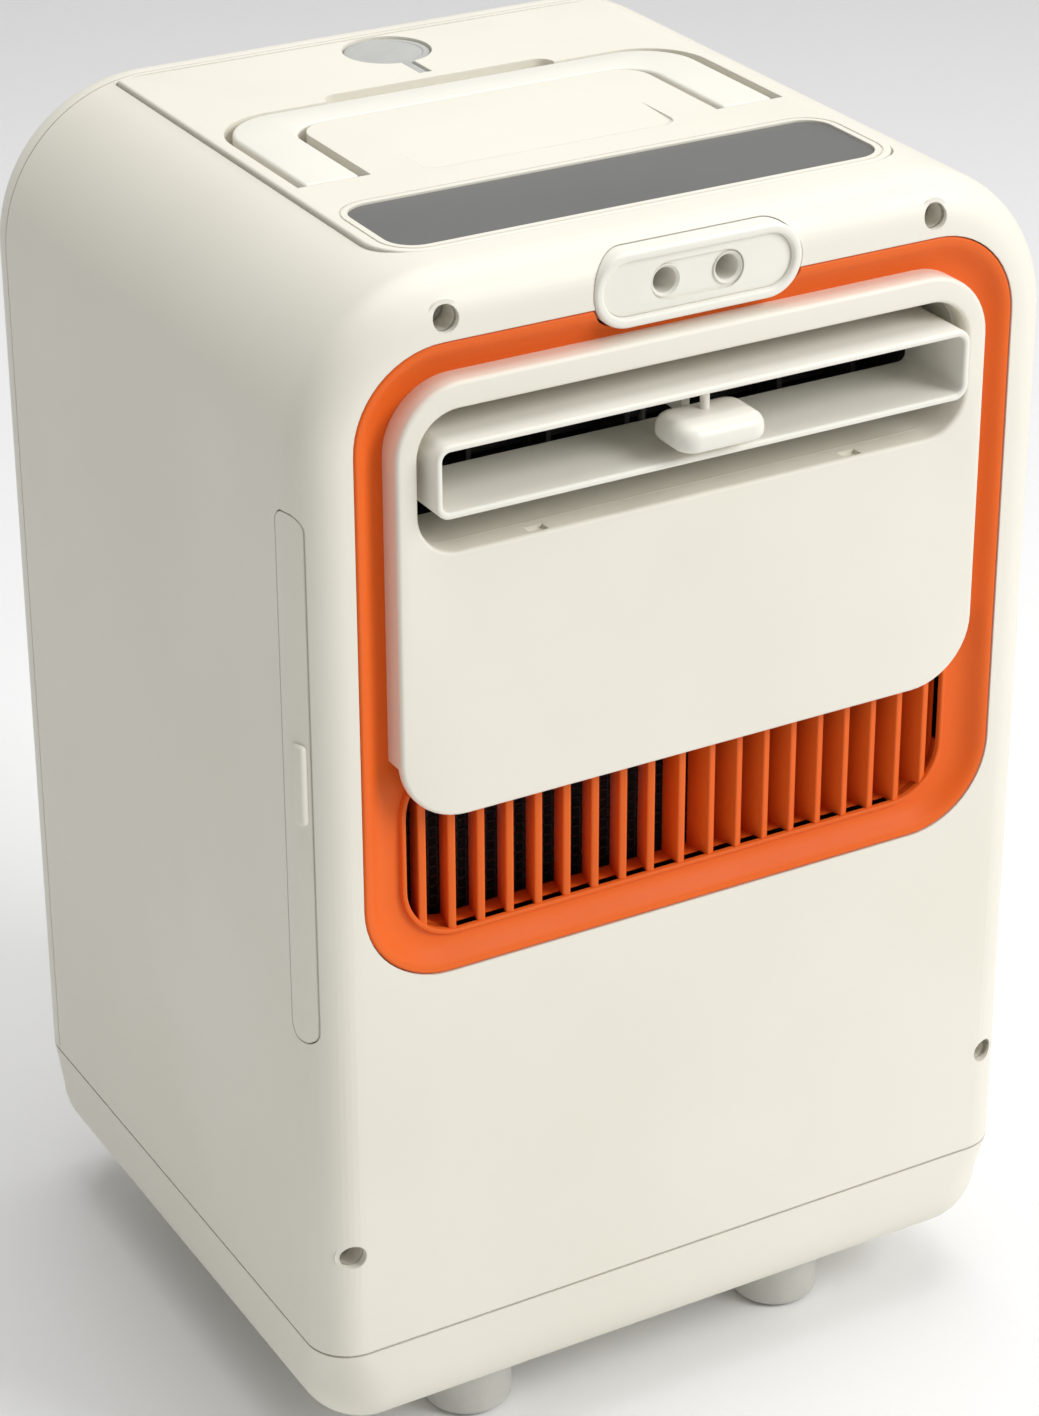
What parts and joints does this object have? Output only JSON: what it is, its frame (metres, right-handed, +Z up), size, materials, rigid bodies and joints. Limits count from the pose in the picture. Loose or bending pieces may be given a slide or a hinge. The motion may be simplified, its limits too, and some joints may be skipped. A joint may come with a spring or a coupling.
{
  "type": "portable air conditioner",
  "caption": "Tabletop evaporative air conditioner with a tilting outlet, swinging guide blades, slide-in side filter, fold-flat handle, filler plug and twin mist head.",
  "frame": {"origin": "centre of the object's bounding box on the floor, under the feet", "axes": "+X to the right seen from the front, -Y out of the front face, +Z up"},
  "size_m": [0.2512, 0.237, 0.3984],
  "materials": {
    "ivory_shell": "fine satin moulding",
    "orange_surround": "semi-gloss moulding",
    "grey_rubber": "soft matt",
    "dark_plastic": "matt",
    "grey_plastic": "matt",
    "clear_tank": "clear moulded tank",
    "wet_pad": "cellular evaporation pad",
    "wick_felt": "felt",
    "steel": "bright",
    "bronze": "sintered",
    "circuit_board": "solder mask",
    "smoked_lens": "smoked gloss"
  },
  "bodies": {
    "case": {"base_tray": "ivory_shell", "foot_front_left": "grey_rubber", "foot_front_right": "grey_rubber", "foot_rear_left": "grey_rubber", "foot_rear_right": "grey_rubber", "base_screws": "steel", "main_shell": "ivory_shell", "front_screws": "steel", "rear_cover": "ivory_shell", "rear_screws": "steel", "rear_screen": "dark_plastic", "power_inlet": "dark_plastic", "power_board": "circuit_board", "chassis": "grey_plastic", "intake_grille": "orange_surround", "front_panel": "ivory_shell", "outlet_duct": "dark_plastic", "nozzle_rim": "ivory_shell", "nozzle_plate": "ivory_shell", "mist_tubes": "ivory_shell", "mist_disc_left": "steel", "mist_disc_right": "steel", "wick_left": "wick_felt", "wick_right": "wick_felt", "water_tank": "clear_tank", "tank_lid": "clear_tank", "tank_shelf": "grey_plastic", "feed_hose": "grey_rubber", "drip_bar": "grey_plastic", "cooling_pad": "wet_pad", "drip_tray": "dark_plastic", "scroll_wall": "dark_plastic", "fan_tongue": "dark_plastic", "end_plate_left": "dark_plastic", "end_plate_right": "dark_plastic", "fan_bush": "bronze", "fan_motor": "steel", "motor_screws": "steel", "top_panel": "ivory_shell", "display_lens": "smoked_lens", "display_board": "circuit_board", "board_screws": "steel", "handle_pins": "steel"},
    "louvre": {"outlet_frame": "ivory_shell"},
    "tab": {"thumb_tab": "ivory_shell"},
    "link": {"blade_link": "dark_plastic"},
    "filter": {"filter_frame": "ivory_shell", "filter_mesh": "dark_plastic"},
    "fan": {"fan_rotor": "dark_plastic", "fan_shaft": "steel"},
    "carry_handle": {"handle": "ivory_shell"},
    "plug": {"filler_plug": "grey_rubber"},
    "guide_1": {"blade_1": "dark_plastic"},
    "guide_2": {"blade_2": "dark_plastic"},
    "guide_3": {"blade_3": "dark_plastic"},
    "guide_4": {"blade_4": "dark_plastic"},
    "guide_5": {"blade_5": "dark_plastic"},
    "guide_6": {"blade_6": "dark_plastic"},
    "guide_7": {"blade_7": "dark_plastic"}
  },
  "joints": [
    {"name": "louvre_tilt", "type": "hinge", "parent": "case", "child": "louvre", "pos_m": [0, -0.0856, 0.3429], "axis": [1, 0, 0], "range_deg": [-12, 24]},
    {"name": "tab_swing", "type": "hinge", "parent": "louvre", "child": "tab", "pos_m": [0, -0.1055, 0.3429], "axis": [0, 0, 1], "range_deg": [-11, 11]},
    {"name": "handle_lift", "type": "hinge", "parent": "case", "child": "carry_handle", "pos_m": [0, -0.013, 0.3954], "axis": [1, 0, 0], "range_deg": [0, 95]},
    {"name": "plug_flip", "type": "hinge", "parent": "case", "child": "plug", "pos_m": [0, 0.0609, 0.3969], "axis": [1, 0, 0], "range_deg": [0, 100]},
    {"name": "filter_slide", "type": "slide", "parent": "case", "child": "filter", "axis": [-1, 0, 0], "range_m": [0, 0.18]},
    {"name": "fan_spin", "type": "hinge", "parent": "case", "child": "fan", "pos_m": [0, -0.0135, 0.2454], "axis": [1, 0, 0], "continuous": true},
    {"name": "link_slide", "type": "slide", "parent": "case", "child": "link", "axis": [1, 0, 0], "range_m": [-0.0031, 0.0031]},
    {"name": "guide_swing_1", "type": "hinge", "parent": "case", "child": "guide_1", "pos_m": [-0.0795, -0.0535, 0.34035], "axis": [0, 0, 1], "range_deg": [-24, 24]},
    {"name": "guide_swing_2", "type": "hinge", "parent": "case", "child": "guide_2", "pos_m": [-0.053, -0.0535, 0.34035], "axis": [0, 0, 1], "range_deg": [-24, 24]},
    {"name": "guide_swing_3", "type": "hinge", "parent": "case", "child": "guide_3", "pos_m": [-0.0265, -0.0535, 0.34035], "axis": [0, 0, 1], "range_deg": [-24, 24]},
    {"name": "guide_swing_4", "type": "hinge", "parent": "case", "child": "guide_4", "pos_m": [0, -0.0535, 0.34035], "axis": [0, 0, 1], "range_deg": [-24, 24]},
    {"name": "guide_swing_5", "type": "hinge", "parent": "case", "child": "guide_5", "pos_m": [0.0265, -0.0535, 0.34035], "axis": [0, 0, 1], "range_deg": [-24, 24]},
    {"name": "guide_swing_6", "type": "hinge", "parent": "case", "child": "guide_6", "pos_m": [0.053, -0.0535, 0.34035], "axis": [0, 0, 1], "range_deg": [-24, 24]},
    {"name": "guide_swing_7", "type": "hinge", "parent": "case", "child": "guide_7", "pos_m": [0.0795, -0.0535, 0.34035], "axis": [0, 0, 1], "range_deg": [-24, 24]}
  ],
  "couplings": [
    {"joint": "guide_swing_1", "follows": "tab_swing", "ratio": -1.98},
    {"joint": "guide_swing_2", "follows": "tab_swing", "ratio": -1.98},
    {"joint": "guide_swing_3", "follows": "tab_swing", "ratio": -1.98},
    {"joint": "guide_swing_4", "follows": "tab_swing", "ratio": -1.98},
    {"joint": "guide_swing_5", "follows": "tab_swing", "ratio": -1.98},
    {"joint": "guide_swing_6", "follows": "tab_swing", "ratio": -1.98},
    {"joint": "guide_swing_7", "follows": "tab_swing", "ratio": -1.98},
    {"joint": "link_slide", "follows": "tab_swing", "m_per_rad": 0.01358}
  ]
}
